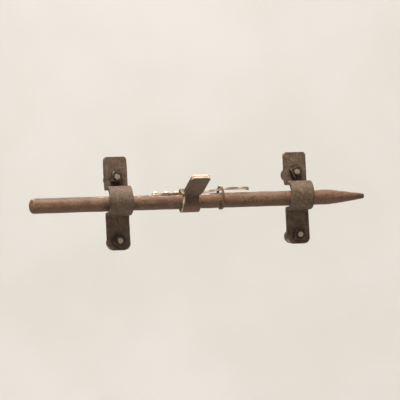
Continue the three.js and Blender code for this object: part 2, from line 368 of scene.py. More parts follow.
class IronPatterns:
    """The grey patterns that every iron finish is mixed from, from the broadest to the finest.

    Attributes:
        clouds: Soft patches a few centimetres across.
        blotches: Patches a few millimetres across, drawn out where the piece slides.
        fibres: Fine streaks, drawn out in the same way.
        crust: Crumbly scale.
        pit: Small round pits, only where the crust is thick.
        grain: Grit.
    """

    def __init__(self, bench: NodeBench, streak: float) -> None:
        """Adds the patterns to a material.

        Args:
            bench: The material's bench.
            streak: How far blotches and fibres are drawn out along the bar.
        """
        drawn = bench.drawn_out(streak)
        self.clouds = bench.noise(48, 4, 0.55, twist=0.6)
        self.blotches = bench.noise(170, 9, 0.68, drawn, twist=0.5)
        self.crust = bench.noise(420, 7, 0.66, twist=0.3)
        self.grain = bench.noise(1700, 5, 0.7)
        self.fibres = bench.noise(620, 6, 0.62, drawn)
        self.pit = bench.times(bench.band(bench.cells(520), 0.36, 0.14), bench.band(self.crust, 0.47, 0.58))


@dataclass(frozen=True)
class IronFinish:
    """Old iron: dark scale under brown rust and dust, pitted, rubbed to metal where it is touched, and
    lighter and darker where the mesh carries painted highlights and painted shade.

    Attributes:
        name: The name of the material and of its slot.
        scale: Colour of the dark mill scale, of grime and of painted shade.
        body: Colour of the even brown patina.
        dust: Colour of the pale, dry bloom on the patina.
        rust: Colour of the fresher rust in the pits.
        rubbed: Colour of the worn metal, also used for painted highlights.
        dusty: Share of the surface with dry bloom, 0 to 1.
        rusty: Share of the surface with fresher rust, 0 to 1.
        metal: Metallic value of the patina.
        bare: Metallic value of the worn metal, which a thin brown film keeps below 1.
        matt: Roughness of the patina.
        gloss: Roughness of the worn metal.
        pit_depth: Depth of the pits in metres.
        streak: How far the pattern is drawn out along the bar, where 1 is not at all.
        wear_start: Wear value at which the patina begins to break.
        wear_full: Wear value at which only metal is left.
    """

    name: str
    scale: str
    body: str
    dust: str
    rust: str
    rubbed: str
    dusty: float = 0.5
    rusty: float = 0.4
    metal: float = 0.12
    bare: float = 0.6
    matt: float = 0.68
    gloss: float = 0.4
    pit_depth: float = 0.3 * MM
    streak: float = 1.0
    wear_start: float = 0.3
    wear_full: float = 0.75

    def material(self) -> bpy.types.Material:
        """Builds the node tree.

        Returns:
            The finished material.
        """
        bench = NodeBench(self.name)
        marks = IronPatterns(bench, self.streak)
        # The worn metal colour covers real wear and the painted highlights kept with it on the mesh.
        rubbed = self.worn_and_highlight_share(bench, marks)
        tone = bench.blend(rubbed, self.patina(bench, marks), colour(self.rubbed))
        # The scale colour is laid over grime and over the painted shade kept with it on the mesh.
        grime_and_shade_share = bench.times(bench.attribute(GRIME_AND_SHADE), bench.band(marks.blotches, 0.3, 0.62, (1.0, 0.55)))
        tone = bench.blend(bench.times(grime_and_shade_share, GRIME_AND_SHADE_COVER), tone, colour(self.scale))
        tone = bench.blend(bench.times(marks.pit, PIT_COVER), tone, colour(self.scale))
        bench.link(tone, bench.shader.inputs["Base Color"])
        metallic = bench.band(rubbed, 0.0, 1.0, (self.metal, self.bare))
        bench.link(metallic, bench.shader.inputs["Metallic"])
        bench.link(self.roughness(bench, marks, rubbed), bench.shader.inputs["Roughness"])
        bench.link(self.relief(bench, marks), bench.shader.inputs["Normal"])
        return bench.material

    def patina(self, bench: NodeBench, marks: IronPatterns) -> Socket:
        """Colour of the untouched surface: patina over scale, with dry bloom, fresh rust and freckles.

        Args:
            bench: The material's bench.
            marks: Its patterns.

        Returns:
            The colour socket.
        """
        cover = bench.band(marks.blotches, 0.3, 0.6, (0.25, 1.0))
        tone = bench.blend(cover, colour(self.scale), colour(self.body))
        edge = 0.66 - 0.2 * self.dusty
        powder = bench.band(marks.crust, edge - 0.12, edge + 0.12)
        dust = bench.times(bench.band(marks.clouds, 0.36, 0.6, (0.3, 0.85)), powder)
        tone = bench.blend(dust, tone, colour(self.dust))
        edge = 0.68 - 0.2 * self.rusty
        fresh = bench.band(marks.fibres, edge - 0.04, edge + 0.1)
        rust = bench.times(fresh, bench.band(marks.clouds, 0.6, 0.4))
        tone = bench.blend(rust, tone, colour(self.rust))
        freckles = bench.times(bench.band(marks.grain, 0.52, 0.68), bench.band(marks.blotches, 0.35, 0.6))
        return bench.blend(bench.times(freckles, FRECKLE_COVER), tone, colour(self.scale))

    def worn_and_highlight_share(self, bench: NodeBench, marks: IronPatterns) -> Socket:
        """Where the patina is rubbed through, in streaks, and never down in the pits, painted highlights
        included.

        Args:
            bench: The material's bench.
            marks: Its patterns.

        Returns:
            The mask's socket.
        """
        streaks = bench.times(bench.band(marks.fibres, 0.35, 0.7), STREAK_WEAR)
        broken_and_highlit = bench.maths("ADD", bench.attribute(WEAR_AND_HIGHLIGHT), streaks)
        broken_and_highlit = bench.maths("SUBTRACT", broken_and_highlit, bench.times(marks.pit, PIT_SHELTER))
        usual = STREAK_WEAR / 2
        return bench.band(broken_and_highlit, self.wear_start + usual, self.wear_full + usual)

    def roughness(self, bench: NodeBench, marks: IronPatterns, rubbed: Socket) -> Socket:
        """Roughness of the patina and of the worn metal, mixed.

        Args:
            bench: The material's bench.
            marks: Its patterns.
            rubbed: The mask of worn metal and painted highlights.

        Returns:
            The roughness socket.
        """
        mixed = bench.node("ShaderNodeMix", data_type="FLOAT")
        patina = bench.band(marks.crust, 0.35, 0.65, (self.matt - 0.14, self.matt + 0.18))
        metal = bench.band(marks.fibres, 0.3, 0.7, (self.gloss - 0.08, self.gloss + 0.16))
        bench.link(rubbed, mixed.inputs["Factor"])
        bench.link(patina, mixed.inputs[2])
        bench.link(metal, mixed.inputs[3])
        return mixed.outputs[0]

    def relief(self, bench: NodeBench, marks: IronPatterns) -> Socket:
        """The surface's unevenness, from broad waves down to grit.

        Args:
            bench: The material's bench.
            marks: Its patterns.

        Returns:
            The normal socket.
        """
        normal = bench.bump(marks.clouds, 0.7 * MM, 0.3)
        normal = bench.bump(marks.blotches, 0.4 * MM, 0.55, normal)
        normal = bench.bump(marks.crust, 0.2 * MM, 0.7, normal)
        normal = bench.bump(bench.band(marks.pit, 0.0, 1.0, (1.0, 0.0)), self.pit_depth, 0.85, normal)
        return bench.bump(marks.grain, 0.08 * MM, 0.6, normal)


BAR_FINISH = IronFinish(
    "bar_iron", scale="33231a", body="634632", dust="84654b", rust="754729", rubbed="d2b698",
    dusty=0.66, rusty=0.45, metal=0.1, bare=0.35, matt=0.6, streak=2.4, wear_start=0.24, wear_full=0.86,
)
KEEPER_FINISH = IronFinish(
    "keeper_iron", scale="2f251c", body="5b4939", dust="846b55", rust="6f4a31", rubbed="b59c85",
    dusty=0.5, rusty=0.4, metal=0.1, matt=0.7, wear_start=0.32, wear_full=0.9,
)
BOLT_FINISH = IronFinish(
    "bolt_iron", scale="1c1510", body="35281f", dust="54443a", rust="4e3424", rubbed="ab937f",
    dusty=0.3, rusty=0.45, metal=0.15, matt=0.6, wear_start=0.42, wear_full=0.95,
)
TOGGLE_FINISH = IronFinish(
    "toggle_iron", scale="2e2117", body="5c432f", dust="7a5e49", rust="6f4729", rubbed="dac0a3",
    dusty=0.34, rusty=0.4, metal=0.12, bare=0.45, matt=0.6, wear_start=0.28, wear_full=0.78,
)
LEAF_FINISH = IronFinish(
    "leaf_steel", scale="4d3a2c", body="9b7f67", dust="b79c82", rust="8a6144", rubbed="dcc4a9",
    dusty=0.5, rusty=0.4, metal=0.3, bare=0.28, matt=0.5, gloss=0.4, pit_depth=0.12 * MM,
    streak=4.0, wear_start=0.08, wear_full=0.55,
)
FINISHES = (BAR_FINISH, KEEPER_FINISH, BOLT_FINISH, TOGGLE_FINISH, LEAF_FINISH)
MATERIALS: dict[str, bpy.types.Material] = {}


class Body(Enum):
    """The three rigid bodies that pieces ride on."""

    KEEPERS = "keepers"
    BAR = "bar"
    TOGGLE = "toggle"


# ---------------------------------------------------------------- smithing


class Forge:
    """One piece while it is being shaped, as a bmesh in the latch's own frame."""

    def __init__(self) -> None:
        """Starts with no metal."""
        self.bm = bmesh.new()

    def line(self, start: Vector, end: Vector, cuts: int) -> Edges:
        """Lays a straight line of edges, the strap's first cross line.

        Args:
            start: One end.
            end: The other end.
            cuts: How many points divide it.

        Returns:
            Its edges.
        """
        edge = self.bm.edges.new((self.bm.verts.new(start), self.bm.verts.new(end)))
        bmesh.ops.subdivide_edges(self.bm, edges=[edge], cuts=cuts)
        return list(self.bm.edges)

    def run(self, edges: Edges, travel: Vector, steps: int) -> Edges:
        """Draws the strap on in a straight line.

        Args:
            edges: The line it ends in now.
            travel: The whole way.
            steps: How many rows it takes.

        Returns:
            The line it ends in after.
        """
        for _ in range(steps):
            made = bmesh.ops.extrude_edge_only(self.bm, edges=edges)["geom"]
            verts = [g for g in made if isinstance(g, bmesh.types.BMVert)]
            bmesh.ops.translate(self.bm, verts=verts, vec=travel / steps)
            drawn = [g for g in made if isinstance(g, bmesh.types.BMEdge)]
            edges = [e for e in drawn if all(v in verts for v in e.verts)]
        return edges

    def bend(self, edges: Edges, centre: Vector, angle: float, steps: int) -> Edges:
        """Draws the strap on round a bend about an axis along X.

        Args:
            edges: The line it ends in now.
            centre: A point on the bend's axis.
            angle: The turn in radians, by the right-hand rule about +X.
            steps: How many rows it takes.

        Returns:
            The line it ends in after.
        """
        verts = list({v for e in edges for v in e.verts})
        made = bmesh.ops.spin(
            self.bm, geom=verts + edges, cent=centre, axis=(1, 0, 0), dvec=(0, 0, 0),
            angle=angle, steps=steps, use_merge=False, use_normal_flip=False, use_duplicate=False,
        )["geom_last"]
        return [g for g in made if isinstance(g, bmesh.types.BMEdge)]

    def thicken(self, thickness: float, towards: Callable[[Vector], Vector]) -> None:
        """Gives a sheet its thickness on the side that a direction field points to.

        Args:
            thickness: The strap's thickness.
            towards: For a point on the sheet, the direction out of its face.
        """
        bm = self.bm
        bmesh.ops.remove_doubles(bm, verts=bm.verts[:], dist=0.001 * MM)
        bmesh.ops.recalc_face_normals(bm, faces=bm.faces[:])
        probe = max(bm.faces, key=lambda f: abs(f.normal.dot(towards(f.calc_center_median()))))
        if probe.normal.dot(towards(probe.calc_center_median())) < 0:
            bmesh.ops.reverse_faces(bm, faces=bm.faces[:])
        bm.normal_update()
        outward = {v.co.to_tuple(7): v.normal.copy() for v in bm.verts}
        made = bmesh.ops.extrude_face_region(bm, geom=bm.faces[:])["geom"]
        for vert in (g for g in made if isinstance(g, bmesh.types.BMVert)):
            vert.co += outward[vert.co.to_tuple(7)] * thickness
        self.close()

    def turn(self, profile: Profile, centre: Vector, along: Vector, steps: int) -> None:
        """Turns a profile into a round piece.

        Args:
            profile: (radius, distance along the axis) for each point.
            centre: Where the axis starts.
            along: The axis direction.
            steps: How many sides the piece has.
        """
        side = along.orthogonal().normalized()
        verts = [self.bm.verts.new(centre + side * r + along * h) for r, h in profile]
        edges = [self.bm.edges.new(pair) for pair in zip(verts, verts[1:])]
        bmesh.ops.spin(
            self.bm, geom=verts + edges, cent=centre, axis=along, dvec=(0, 0, 0),
            angle=2 * math.pi, steps=steps, use_merge=True, use_normal_flip=False, use_duplicate=False,
        )
        self.close()

    def close(self) -> None:
        """Merges doubles and points every face outwards."""
        bmesh.ops.remove_doubles(self.bm, verts=self.bm.verts[:], dist=0.002 * MM)
        bmesh.ops.recalc_face_normals(self.bm, faces=self.bm.faces[:])
        self.bm.normal_update()

    def bevel(self, edges: Edges, width: float) -> None:
        """Rounds off some edges.

        Args:
            edges: The edges.
            width: How far the rounding reaches on each face.
        """
        bmesh.ops.bevel(
            self.bm, geom=edges, offset=width, affect="EDGES", segments=BEVEL_STRIPS,
            profile=0.5, material=-1, clamp_overlap=True,
        )

    def round_edges(self, width: float) -> None:
        """Rounds off every sharp edge.

        Args:
            width: How far the rounding reaches on each face.
        """
        edges = [e for e in self.bm.edges if len(e.link_faces) == 2]
        self.bevel([e for e in edges if e.calc_face_angle(0.0) > ROUNDED_ANGLE], width)
        self.close()

    def hammer(self, depth: float, spacing: float, seed: float) -> None:
        """Sinks the surface unevenly, as hammer blows and rust leave it. No point moves outwards.

        Args:
            depth: The deepest dent.
            spacing: The usual distance between dents.
            seed: Sets this piece's pattern apart.
        """
        self.bm.normal_update()
        shift = Vector((seed, seed * 1.7, seed * 0.6))
        moves = []
        for vert in self.bm.verts:
            broad = noise.noise(vert.co / spacing + shift)
            fine = noise.noise(vert.co / (spacing * 0.35) + shift * 2)
            dent = min(1.0, max(0.0, 0.5 + 0.65 * broad + 0.3 * fine))
            moves.append(vert.normal * (-depth * dent))
        for vert, move in zip(self.bm.verts, moves):
            vert.co += move

    def pierce(self, centre: Vector, radius: float, length: float) -> None:
        """Drills a round hole through the piece, along Y.

        Args:
            centre: The middle of the hole.
            radius: The hole's radius.
            length: How far the drill runs, centred on the middle.
        """
        drill = Forge()
        turned = (-OUT).to_track_quat("Z", "Y").to_matrix().to_4x4()
        bmesh.ops.create_cone(
            drill.bm, cap_ends=True, segments=HOLE_SIDES, radius1=radius, radius2=radius,
            depth=length, matrix=Matrix.Translation(centre) @ turned,
        )
        blanks = []
        for shape in (self.bm, drill.bm):
            mesh = bpy.data.meshes.new("blank")
            shape.to_mesh(mesh)
            shape.free()
            blanks.append(show("blank", mesh))
        work, bit = blanks
        cut = work.modifiers.new("hole", "BOOLEAN")
        cut.operation = "DIFFERENCE"
        cut.solver = "EXACT"
        cut.object = bit
        graph = bpy.context.evaluated_depsgraph_get()
        self.bm = bmesh.new()
        self.bm.from_object(work, graph)
        for blank in blanks:
            mesh = blank.data
            bpy.data.objects.remove(blank)
            bpy.data.meshes.remove(mesh)

    def paint(self, wear_and_highlight_boost: Rule | None, dirt_and_shade: Rule | None) -> None:
        """Stores each point's wear with its painted highlights, and its grime with its painted shade.

        Outer edges are worn and inner corners darker, and each rule adds to its own value.

        Args:
            wear_and_highlight_boost: Extra wear and painted highlight for a point and its normal.
            dirt_and_shade: Extra grime and painted shade for a point and its normal.
        """
        wear_and_highlight_layer = self.bm.verts.layers.float.new(WEAR_AND_HIGHLIGHT)
        grime_and_shade_layer = self.bm.verts.layers.float.new(GRIME_AND_SHADE)
        self.bm.normal_update()
        slope = {}
        for vert in self.bm.verts:
            ways = [(edge.other_vert(vert).co - vert.co).normalized() for edge in vert.link_edges]
            slope[vert] = sum(way.dot(vert.normal) for way in ways) / max(1, len(ways))
        for layer, sign, rule in ((wear_and_highlight_layer, -1, wear_and_highlight_boost), (grime_and_shade_layer, 1, dirt_and_shade)):
            value = {}
            for vert, rise in slope.items():
                value[vert] = min(1.0, max(0.0, sign * EDGE_SLOPE * rise - EDGE_FLOOR))
            for _ in range(SPREAD_ROUNDS):
                most = {}
                for vert, own in value.items():
                    most[vert] = max((value[e.other_vert(vert)] for e in vert.link_edges), default=own)
                value = {vert: (1 - SPREAD) * own + SPREAD * most[vert] for vert, own in value.items()}
            for vert, share in value.items():
                extra = rule(vert.co, vert.normal) if rule else 0.0
                vert[layer] = min(1.0, max(0.0, share + extra))

    def mesh(self, name: str) -> bpy.types.Mesh:
        """Ends the shaping and hands over the metal as a smooth mesh.

        Args:
            name: The mesh's name.

        Returns:
            The mesh.
        """
        made = bpy.data.meshes.new(name)
        self.bm.to_mesh(made)
        self.bm.free()
        made.shade_smooth()
        return made

    def finish(
        self,
        name: str,
        body: Body,
        node: str,
        finish: IronFinish,
        wear_and_highlight_boost: Rule | None = None,
        dirt_and_shade: Rule | None = None,
    ) -> None:
        """Turns the shaped metal into a finished piece on its body.

        Args:
            name: The piece's name.
            body: The body it rides on.
            node: The CAD node it stands for.
            finish: Its finish.
            wear_and_highlight_boost: Extra wear and painted highlight for a point and its normal.
            dirt_and_shade: Extra grime and painted shade for a point and its normal.
        """
        self.paint(wear_and_highlight_boost, dirt_and_shade)
        mesh = self.mesh(name)
        mesh.set_sharp_from_angle(angle=SHARP_ANGLE)
        mesh.materials.append(MATERIALS[finish.name])
        piece = show(name, mesh)
        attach(piece, body.value)
        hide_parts(node)
        LOG.info("%s: %d faces on %s", name, len(mesh.polygons), body.value)


# ---------------------------------------------------------------- keepers, bolts and nuts


@dataclass
class Keeper:
    """A saddle keeper with the two carriage bolts and square nuts that hold it to the door.

    Attributes:
        side: Which keeper, left or right.
        seed: Sets this keeper's hammer marks apart.
        strap: Thickness of the strap.
        upper_flange: From the saddle to the top end.
        top_corner: Radius of the top corners.
        bottom_corner: Radius of the bottom corners.
        bend: Inside radius where the saddle meets a flange.
        hole: Radius of the bolt holes.
        row: Length of one row of faces.
    """

    side: str
    seed: float
    strap: float = 4.0 * MM
    upper_flange: float = 31.0 * MM
    top_corner: float = 2.5 * MM
    bottom_corner: float = 6.0 * MM
    bend: float = 3.0 * MM
    hole: float = 3.4 * MM
    row: float = 1.1 * MM

    def build(self) -> None:
        """Makes the strap, its bolts and its nuts."""
        self.measure()
        self.forge_strap()
        for level in LEVELS:
            CarriageBolt(self.side, level, self.seed, self.strap).build()

    def measure(self) -> None:
        """Works out the saddle from the CAD keeper's box and the bar's."""
        self.low, self.high = corners(f"keeper_{self.side}")
        self.stand_off = -middle("slide_bar").y
        self.outer = -self.low.y - self.stand_off
        self.inner = self.outer - self.strap
        self.up = self.high.z - self.upper_flange - self.outer
        self.nuts = {level: middle(f"nut_{self.side}_{level}") for level in LEVELS}

    def forge_strap(self) -> None:
        """Bends the strap from a straight line of edges and cuts its bolt holes."""
        forge = Forge()
        bend = self.bend + self.strap / 3  # at the face that lies on the door
        top, bottom = self.up + self.inner, self.up - self.inner
        start = Vector((self.low.x, 0, self.low.z))
        width = self.high.x - self.low.x
        edges = forge.line(start, start + ACROSS * width, int(width / self.row))
        leg = self.stand_off - bend
        leg_rows = round(leg / self.row)
        lower = bottom - bend - self.low.z
        edges = forge.run(edges, UP * lower, round(lower / self.row))
        edges = forge.bend(edges, Vector((0, -bend, bottom - bend)), math.pi / 2, 6)
        edges = forge.run(edges, OUT * leg, leg_rows)
        edges = forge.bend(edges, Vector((0, -self.stand_off, self.up)), -math.pi, 34)
        edges = forge.run(edges, -OUT * leg, leg_rows)
        edges = forge.bend(edges, Vector((0, -bend, top + bend)), math.pi / 2, 6)
        upper = self.high.z - top - bend
        forge.run(edges, UP * upper, round(upper / self.row))
        forge.thicken(self.strap, self.away)
        self.nip_corners(forge)
        forge.round_edges(0.85 * MM)
        forge.hammer(0.32 * MM, 9 * MM, self.seed)
        for vert in forge.bm.verts:
            vert.co.z = max(vert.co.z, self.low.z)
        for level in LEVELS:
            centre = middle(f"bolt_{self.side}_{level}")
            centre.y = -self.strap / 2
            forge.pierce(centre, self.hole, 4 * self.strap)
        forge.finish(
            f"{self.side}_keeper_strap", Body.KEEPERS, f"keeper_{self.side}", KEEPER_FINISH,
            self.rubbing_and_highlight, self.soiling_and_shade,
        )

    def away(self, point: Vector) -> Vector:
        """The way out of the strap's outer face: off the door, or out from the saddle's axis.

        Args:
            point: A point on the strap.

        Returns:
            The direction.
        """
        if abs(point.z - self.up) > self.outer + self.bend:
            return OUT
        return Vector((0, point.y + self.stand_off, point.z - self.up)).normalized()

    def nip_corners(self, forge: Forge) -> None:
        """Draws in the rows near each end, which rounds the strap's corners, and wavers its sides.

        Args:
            forge: The piece.
        """
        half = (self.high.x - self.low.x) / 2
        centre = (self.high.x + self.low.x) / 2
        for vert in forge.bm.verts:
            waver = noise.noise(Vector((self.seed, vert.co.y / (14 * MM), vert.co.z / (14 * MM))))
            reach = half * (0.98 + 0.019 * waver)
            reach *= reach_near_end(half, self.bottom_corner, vert.co.z - self.low.z) / half
            reach *= reach_near_end(half, self.top_corner, self.high.z - vert.co.z) / half
            vert.co.x = centre + (vert.co.x - centre) * reach / half

    def rubbing_and_highlight(self, point: Vector, normal: Vector) -> float:
        """The saddle's crown is rubbed a little by hands, and upward faces above the bar's axis get a
        painted highlight from the light above.
        """
        crown = smoothstep(self.outer * 0.55, self.outer, -(point.y + self.stand_off))
        # upward faces above the bar's axis: painted highlight
        return 0.1 * crown + (0.12 if normal.z > 0.7 and point.z > 0 else 0.0)

    def soiling_and_shade(self, point: Vector, normal: Vector) -> float:
        """Grime and painted contact shade round the nuts, painted shade on downward faces under the saddle,
        and painted shade darkening the lower flange towards its bottom.

        Args:
            point: A point of the surface.
            normal: The direction out of the surface there.

        Returns:
            The extra grime.
        """
        # painted shade: darker from the saddle down to the strap's bottom end, where the saddle shades the
        # lower flange
        grime_and_shade = 0.25 * smoothstep(self.up - self.outer, self.low.z, point.z)
        # a dark ring on the strap's face round each nut: grime and painted contact shade
        for nut in self.nuts.values():
            away = math.hypot(point.x - nut.x, point.z - nut.z)
            grime_and_shade += 0.75 * smoothstep(10.5 * MM, 6.5 * MM, away) * (normal.y < -0.5)
        # painted shade on downward faces in front of the strap
        under = smoothstep(0.3, 1.0, -normal.z) * (point.y < -self.strap)
        return grime_and_shade + 0.5 * under


@dataclass
class CarriageBolt:
    """A carriage bolt through the door, and the square nut on its front end.

    Attributes:
        side: The keeper it holds, left or right.
        level: Which of that keeper's bolts, upper or lower.
        seed: The keeper's seed for hammer marks.
        strap: Thickness of the keeper's strap, which the nut sits on.
        radius: Radius of the shank.
        head_height: Height of the domed head.
        neck: Length of the square neck.
        pitch: Distance between two threads.
        thread: Length of the threaded end.
        crest: Radius of a thread's crest as a share of the shank's.
        root: Radius of its root in the same way.
        nut_side: Side of the square nut.
        nut_bore: Radius of the nut's hole.
    """

    side: str
    level: str
    seed: float
    strap: float
    radius: float = 3.175 * MM
    head_height: float = 3.8 * MM
    neck: float = 4 * MM
    pitch: float = 1.27 * MM
    thread: float = 19 * MM
    crest: float = 0.965
    root: float = 0.83
    nut_side: float = 11 * MM
    nut_bore: float = 3.3 * MM

    def build(self) -> None:
        """Makes the bolt and its nut."""
        self.turn_bolt()
        self.cut_nut()

    def turn_bolt(self) -> None:
        """Turns the bolt: domed head, square neck, plain shank and threaded end."""
        node = f"bolt_{self.side}_{self.level}"
        low, high = corners(node)
        start = (low + high) / 2
        start.y = high.y
        forge = Forge()
        forge.turn(self.profile((high.x - low.x) / 2, high.y - low.y), start, OUT, 32)
        self.square_neck(forge, start)
        forge.hammer(0.08 * MM, 3.5 * MM, self.seed + (0.4 if self.level == "upper" else 1.9))
        name = f"{self.side}_{self.level}_carriage_bolt"
        forge.finish(name, Body.KEEPERS, node, BOLT_FINISH, self.tip_wear_and_glint)

    def profile(self, head: float, length: float) -> Profile:
        """The bolt's outline as (radius, distance from the top of its head).

        Args:
            head: Radius of the head.
            length: From the head's top to the tip.

        Returns:
            The outline's points.
        """
        points = [(head * math.sin(turn), self.head_height * (1 - math.cos(turn))) for turn in quarter(12)]
        rows = [self.head_height + 0.01 * MM]
        rows += [self.head_height + self.neck * share for share in (0.25, 0.5, 0.75, 1.0)]
        plain_start = rows[-1] + 0.4 * MM
        plain_end = length - self.thread
        rows += [plain_start + (plain_end - plain_start) * i / 8 for i in range(9)]
        points += [(self.radius, row) for row in rows]
        turns = int(self.thread / self.pitch)
        for i in range(turns):
            height = 0.7 if i == turns - 1 else 1.0  # the last thread runs out
            crest = self.radius * (self.crest * height + self.root * (1 - height))
            root = self.radius * self.root
            for radius, share in ((root, 0.42), (root, 0.52), (crest, 0.9), (crest, 0.99)):
                points.append((radius, plain_end + (i + share) * self.pitch))
        return points + [(self.radius * 0.78, length), (0.0, length)]

    def square_neck(self, forge: Forge, start: Vector) -> None:
        """Pushes the neck's round rows out to a square with slightly rounded corners.

        Args:
            forge: The bolt.
            start: The top of its head.
        """
        for vert in forge.bm.verts:
            along = start.y - vert.co.y - self.head_height
            if 0 < along < self.neck + 0.01 * MM:
                across = vert.co - start
                stretch = min(self.radius / max(abs(across.x), abs(across.z), 1e-9), 1.32)
                vert.co.x = start.x + across.x * stretch
                vert.co.z = start.z + across.z * stretch
        forge.close()

    def tip_wear_and_glint(self, point: Vector, normal: Vector) -> float:
        """The bolt's end, in front of the nut, is brighter than the rest: bare cut metal and a painted
        glint.
        """
        return 0.55 if point.y < -(self.strap + 5.7 * MM) and normal.y < -0.5 else 0.0

    def cut_nut(self) -> None:
        """Cuts the square nut, with chamfered, battered corners and a hole."""
        node = f"nut_{self.side}_{self.level}"
        low, high = corners(node)
        centre = (low + high) / 2
        side, height = self.nut_side, high.y - low.y
        forge = Forge()
        bmesh.ops.create_cube(forge.bm, size=1.0)
        bmesh.ops.scale(forge.bm, vec=(side, side, height), verts=forge.bm.verts[:])
        uprights = [e for e in forge.bm.edges if abs(e.verts[0].co.z - e.verts[1].co.z) > height / 2]
        forge.bevel(uprights, 0.7 * MM)
        forge.close()
        rims = [e for e in forge.bm.edges if all(abs(v.co.z) > height * 0.49 for v in e.verts)]
        forge.bevel([e for e in rims if e.calc_face_angle(0.0) > 1.0], 0.55 * MM)
        for vert in forge.bm.verts:
            reach = math.hypot(vert.co.x, vert.co.y) - side / 2
            if vert.co.z > 0 and reach > 0:
                vert.co.z -= reach * 0.62
        bmesh.ops.triangulate(forge.bm, faces=[f for f in forge.bm.faces if len(f.verts) > 4])
        long_edges = [e for e in forge.bm.edges if e.calc_length() > 2 * MM]
        bmesh.ops.subdivide_edges(forge.bm, edges=long_edges, cuts=5, use_grid_fill=True)
        turn = math.radians(NUT_TURNS[f"{self.side}_{self.level}"])
        spot = Matrix.Translation(centre) @ Matrix.Rotation(turn, 4, "Y")
        facing = Matrix.Rotation(math.pi / 2, 4, "X")
        bmesh.ops.transform(forge.bm, matrix=spot @ facing, verts=forge.bm.verts[:])
        forge.close()
        forge.hammer(0.22 * MM, 4 * MM, self.seed + (5.2 if self.level == "upper" else 2.3))
        forge.pierce(centre, self.nut_bore, 3 * height)
        forge.finish(f"{self.side}_{self.level}_square_nut", Body.KEEPERS, node, BOLT_FINISH)


# ---------------------------------------------------------------- the slide bar


@dataclass
class SlideBar:
    """The round slide bar: a domed tail, a flat under the leaf and a tapered nose.

    Attributes:
        nose_length: Length of the taper.
        tip_radius: Radius at the blunt tip.
        bulge: 1 is a straight cone, and more is a fuller nose.
        end_rounding: Length of the tail's dome.
        run_out: Length over which the flat fades out at each end.
        leaf_gap: From the flat to the leaf.
        sides: Faces round the bar.
        row: Length of one row of faces.
    """

    nose_length: float = 42 * MM
    tip_radius: float = 2.8 * MM
    bulge: float = 1.25
    end_rounding: float = 5 * MM
    run_out: float = 2.5 * MM
    leaf_gap: float = 0.2 * MM
    sides: int = 56
    row: float = 1.3 * MM

    def build(self) -> None:
        """Makes the bar."""
        self.measure()
        forge = Forge()
        forge.turn(self.profile(), Vector((self.start, self.y, 0)), ACROSS, self.sides)
        self.file_flat(forge)
        forge.hammer(0.42 * MM, 13 * MM, 1.3)
        forge.finish("slide_bar_iron", Body.BAR, "slide_bar", BAR_FINISH, self.rubbing_and_highlight, self.soiling_and_shade)

    def measure(self) -> None:
        """Takes the bar's ends, radius and flat from the CAD boxes."""
        low, high = corners("slide_bar")
        self.start, self.end = low.x, high.x
        self.radius = (high.y - low.y) / 2
        self.y = (high.y + low.y) / 2
        leaf = SpringLeaf()
        self.flat_start = leaf.low.x - CLEARANCE
        self.flat_height = leaf.low.z - self.leaf_gap
        self.flat_end = leaf.first_clear(self.radius + self.leaf_gap)
        self.keepers = [middle(f"keeper_{side}").x for side in ("left", "right")]

    def profile(self) -> Profile:
        """The bar's outline: domed tail, straight length, taper and blunt tip.

        Returns:
            (radius, distance from the tail) for each point.
        """
        length = self.end - self.start
        dome = quarter(10)[:-1]
        points = [(self.radius * math.sin(turn), self.end_rounding * (1 - math.cos(turn))) for turn in dome]
        straight = length - self.end_rounding - self.nose_length
        rows = round(straight / self.row)
        points += [(self.radius, self.end_rounding + straight * i / rows) for i in range(rows)]
        tip_round = self.tip_radius / 2
        taper = self.nose_length - tip_round
        rows = round(taper / self.row)
        for i in range(rows + 1):
            share = i / rows
            radius = self.tip_radius + (self.radius - self.tip_radius) * (1 - share**self.bulge)
            points.append((radius, length - self.nose_length + taper * share))
        for turn in quarter(6)[1:]:
            along = length - tip_round + tip_round * math.sin(turn)
            points.append((self.tip_radius * math.cos(turn), along))
        return points

    def file_flat(self, forge: Forge) -> None:
        """Lowers the top of the bar to the flat that the leaf lies on, with a run-out at each end.

        Args:
            forge: The bar.
        """
        depth = self.radius - self.flat_height
        for vert in forge.bm.verts:
            inside = min(vert.co.x - self.flat_start, self.flat_end - vert.co.x)
            if inside > -self.run_out:
                level = self.flat_height + depth * smoothstep(0, -self.run_out, inside)
                vert.co.z = min(vert.co.z, level)

    def rubbing_and_highlight(self, point: Vector, normal: Vector) -> float:
        """The bar is lighter along its top, worn there and given a painted highlight from the light above,
        and worn on its tail and nose and where it runs in the keepers.

        Args:
            point: A point of the surface.
            normal: The direction out of the surface there.

        Returns:
            The extra wear.
        """
        # top: wear and a painted highlight from the light above
        top = smoothstep(0.5, 0.95, normal.z) * 0.42
        nose = smoothstep(self.end - self.nose_length, self.end, point.x) * 0.18
        tail = smoothstep(self.start + 9 * MM, self.start, point.x) * 0.25
        ride = max(0.16 * smoothstep(34 * MM, 14 * MM, abs(point.x - x)) for x in self.keepers)
        patch = noise.noise(Vector((point.x * 60, point.y * 120, point.z * 120)))
        return (top + nose + tail + ride) * (0.75 + 0.5 * patch)

    def soiling_and_shade(self, point: Vector, normal: Vector) -> float:
        """Painted shade darkens the bar's underside, and the nose is darker towards its tip except on faces
        that look up.

        Args:
            point: A point of the surface.
            normal: The direction out of the surface there.

        Returns:
            The extra grime.
        """
        # painted shade on downward faces
        under = 0.7 * smoothstep(0.0, 0.85, -normal.z)
        # darker towards the nose's end
        tip = 0.9 * smoothstep(self.end - 16 * MM, self.end - 4 * MM, point.x)
        return under + tip * smoothstep(0.9, 0.3, normal.z)


# ---------------------------------------------------------------- the spring leaf, its rivets and band


